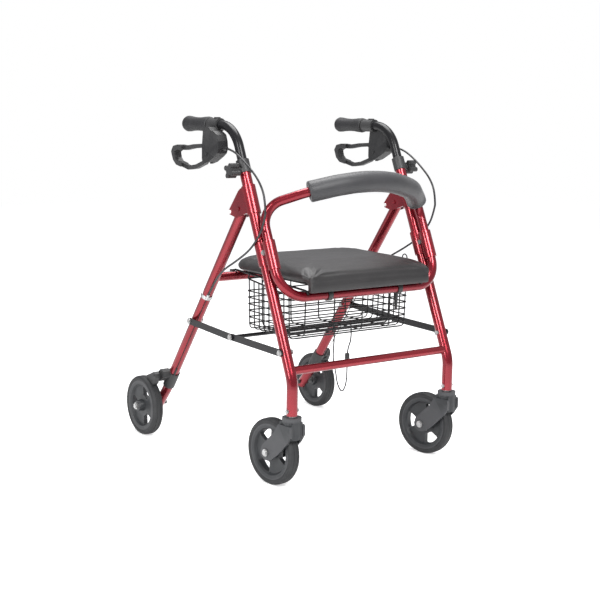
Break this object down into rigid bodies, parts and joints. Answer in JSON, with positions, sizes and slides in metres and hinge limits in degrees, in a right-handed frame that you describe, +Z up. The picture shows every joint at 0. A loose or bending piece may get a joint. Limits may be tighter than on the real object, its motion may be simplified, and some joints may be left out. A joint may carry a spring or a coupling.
{
  "type": "rollator walker",
  "caption": "Folding wheeled walking frame with swivel casters, loop hand brakes, height-adjustable handles, padded seat, curved padded backrest and wire basket under the seat.",
  "frame": {"origin": "on the floor under the middle of the overall box", "axes": "+X across to the right as seen from the front, +Y to the rear (user side), +Z up; the front with the casters faces -Y"},
  "size_m": [0.608, 0.6844, 0.8138],
  "materials": {
    "red_paint": "high gloss candy red lacquer",
    "black_gloss": "gloss black lacquer",
    "grip_rubber": "soft moulded grip, satin",
    "black_plastic": "moulded plastic, satin",
    "grey_plastic": "dark grey moulded plastic",
    "tyre_rubber": "solid tyre, matt",
    "steel": "zinc plated fasteners",
    "nylon_white": "white nylon",
    "foam": "closed cell foam sleeve, matt",
    "vinyl": "embossed vinyl cover",
    "board": "black board",
    "black_wire": "black powder coated wire",
    "cable_sheath": "cable outer, satin",
    "cord": "round elastic cord"
  },
  "bodies": {
    "frame": {"front_leg_left": "red_paint", "front_leg_right": "red_paint", "front_cross_bar": "red_paint", "seat_tube": "red_paint", "socket_clamps": "red_paint", "hinge_brackets": "red_paint", "hinge_plugs": "nylon_white", "front_frame_bolts": "steel", "leg_collars": "black_plastic", "caster_posts": "steel", "backrest_tube": "red_paint", "backrest_pad": "foam"},
    "rear_frame": {"rear_leg_left": "red_paint", "rear_leg_right": "red_paint", "rear_cross_tube": "red_paint", "rear_axles": "steel", "rear_axle_caps": "black_plastic", "rear_frame_bolts": "steel", "brake_bracket_left": "black_plastic", "brake_bracket_right": "black_plastic", "cable_stops": "steel", "brake_wires": "steel", "cable_lower_left": "cable_sheath", "cable_lower_right": "cable_sheath"},
    "seat": {"seat_pad": "vinyl", "seat_board": "board", "seat_fittings": "black_plastic"},
    "basket": {"basket": "black_wire"},
    "brace_front": {"brace_front_links": "black_gloss", "pull_bar": "black_gloss"},
    "brace_rear": {"brace_rear_links": "black_gloss", "brace_mid_bolts": "steel"},
    "cord": {"pull_cord": "cord", "cord_toggle": "black_plastic"},
    "handlebar_left": {"handlebar_left": "black_gloss", "grip_left": "grip_rubber", "brake_housing_left": "black_plastic", "cable_upper_left": "cable_sheath"},
    "height_knob_left": {"height_knob_left": "black_plastic"},
    "brake_lever_left": {"brake_lever_left": "black_plastic"},
    "brake_shoe_left": {"brake_arm_left": "black_plastic"},
    "caster_left": {"caster_fork_left": "grey_plastic", "caster_axle_left": "steel"},
    "caster_wheel_left": {"caster_wheel_left": "grey_plastic", "caster_tyre_left": "tyre_rubber"},
    "rear_wheel_left": {"rear_wheel_left": "grey_plastic", "rear_tyre_left": "tyre_rubber"},
    "handlebar_right": {"handlebar_right": "black_gloss", "grip_right": "grip_rubber", "brake_housing_right": "black_plastic", "cable_upper_right": "cable_sheath"},
    "height_knob_right": {"height_knob_right": "black_plastic"},
    "brake_lever_right": {"brake_lever_right": "black_plastic"},
    "brake_shoe_right": {"brake_arm_right": "black_plastic"},
    "caster_right": {"caster_fork_right": "grey_plastic", "caster_axle_right": "steel"},
    "caster_wheel_right": {"caster_wheel_right": "grey_plastic", "caster_tyre_right": "tyre_rubber"},
    "rear_wheel_right": {"rear_wheel_right": "grey_plastic", "rear_tyre_right": "tyre_rubber"}
  },
  "joints": [
    {"name": "frame_fold", "type": "hinge", "parent": "frame", "child": "rear_frame", "pos_m": [0, -0.1217, 0.609], "axis": [-1, 0, 0], "range_deg": [0, 15], "deforming": ["cable_lower_left", "cable_lower_right"]},
    {"name": "seat_flip", "type": "hinge", "parent": "frame", "child": "seat", "pos_m": [0, -0.27378, 0.422], "axis": [1, 0, 0], "range_deg": [0, 50.05]},
    {"name": "basket_swing", "type": "hinge", "parent": "frame", "child": "basket", "pos_m": [0, -0.27378, 0.422], "axis": [1, 0, 0], "range_deg": [0, 50.05]},
    {"name": "brace_front_swing", "type": "hinge", "parent": "frame", "child": "brace_front", "pos_m": [0, -0.2915, 0.306], "axis": [1, 0, 0], "range_deg": [0, 29.93]},
    {"name": "brace_rear_swing", "type": "hinge", "parent": "rear_frame", "child": "brace_rear", "pos_m": [0, 0.0847, 0.32], "axis": [-1, 0, 0], "range_deg": [0, 33.6]},
    {"name": "cord_swing", "type": "hinge", "parent": "brace_front", "child": "cord", "pos_m": [0, -0.0973, 0.31], "axis": [-1, 0, 0], "range_deg": [0, 29.93]},
    {"name": "handlebar_slide_left", "type": "slide", "parent": "frame", "child": "handlebar_left", "axis": [0, 0.3988, 0.917], "range_m": [0, 0.12], "deforming": ["cable_upper_left"]},
    {"name": "height_knob_turn_left", "type": "hinge", "parent": "frame", "child": "height_knob_left", "pos_m": [-0.231, -0.12218, 0.69536], "axis": [1, 0, 0], "range_deg": [-180, 180]},
    {"name": "brake_squeeze_left", "type": "hinge", "parent": "handlebar_left", "child": "brake_lever_left", "pos_m": [-0.25, -0.0103, 0.728], "axis": [1, 0, 0], "range_deg": [0, 12], "stiffness_Nm_per_rad": 2},
    {"name": "brake_shoe_press_left", "type": "hinge", "parent": "rear_frame", "child": "brake_shoe_left", "pos_m": [-0.231, 0.2107, 0.164], "axis": [-1, 0, 0], "range_deg": [0, 2.05]},
    {"name": "caster_swivel_left", "type": "hinge", "parent": "frame", "child": "caster_left", "pos_m": [-0.231, -0.3183, 0.14], "axis": [0, 0, 1], "continuous": true},
    {"name": "caster_roll_left", "type": "hinge", "parent": "caster_left", "child": "caster_wheel_left", "pos_m": [-0.23727, -0.25863, 0.076], "axis": [0.9945, 0.1045, 0], "continuous": true},
    {"name": "rear_wheel_roll_left", "type": "hinge", "parent": "rear_frame", "child": "rear_wheel_left", "pos_m": [-0.275, 0.2662, 0.076], "axis": [1, 0, 0], "continuous": true},
    {"name": "handlebar_slide_right", "type": "slide", "parent": "frame", "child": "handlebar_right", "axis": [0, 0.3988, 0.917], "range_m": [0, 0.12], "deforming": ["cable_upper_right"]},
    {"name": "height_knob_turn_right", "type": "hinge", "parent": "frame", "child": "height_knob_right", "pos_m": [0.231, -0.12218, 0.69536], "axis": [1, 0, 0], "range_deg": [-180, 180]},
    {"name": "brake_squeeze_right", "type": "hinge", "parent": "handlebar_right", "child": "brake_lever_right", "pos_m": [0.25, -0.0103, 0.728], "axis": [1, 0, 0], "range_deg": [0, 12], "stiffness_Nm_per_rad": 2},
    {"name": "brake_shoe_press_right", "type": "hinge", "parent": "rear_frame", "child": "brake_shoe_right", "pos_m": [0.231, 0.2107, 0.164], "axis": [-1, 0, 0], "range_deg": [0, 2.05]},
    {"name": "caster_swivel_right", "type": "hinge", "parent": "frame", "child": "caster_right", "pos_m": [0.231, -0.3183, 0.14], "axis": [0, 0, 1], "continuous": true},
    {"name": "caster_roll_right", "type": "hinge", "parent": "caster_right", "child": "caster_wheel_right", "pos_m": [0.21955, -0.2594, 0.076], "axis": [0.9816, 0.1908, 0], "continuous": true},
    {"name": "rear_wheel_roll_right", "type": "hinge", "parent": "rear_frame", "child": "rear_wheel_right", "pos_m": [0.275, 0.2662, 0.076], "axis": [1, 0, 0], "continuous": true}
  ],
  "couplings": [
    {"joint": "seat_flip", "follows": "frame_fold", "ratio": 3.3333},
    {"joint": "basket_swing", "follows": "frame_fold", "ratio": 3.3333},
    {"joint": "brace_front_swing", "follows": "frame_fold", "ratio": 1.9921},
    {"joint": "brace_rear_swing", "follows": "frame_fold", "ratio": 2.2365},
    {"joint": "cord_swing", "follows": "frame_fold", "ratio": 1.9921},
    {"joint": "brake_shoe_press_left", "follows": "brake_squeeze_left", "ratio": 0.16667},
    {"joint": "brake_shoe_press_right", "follows": "brake_squeeze_right", "ratio": 0.16667}
  ]
}
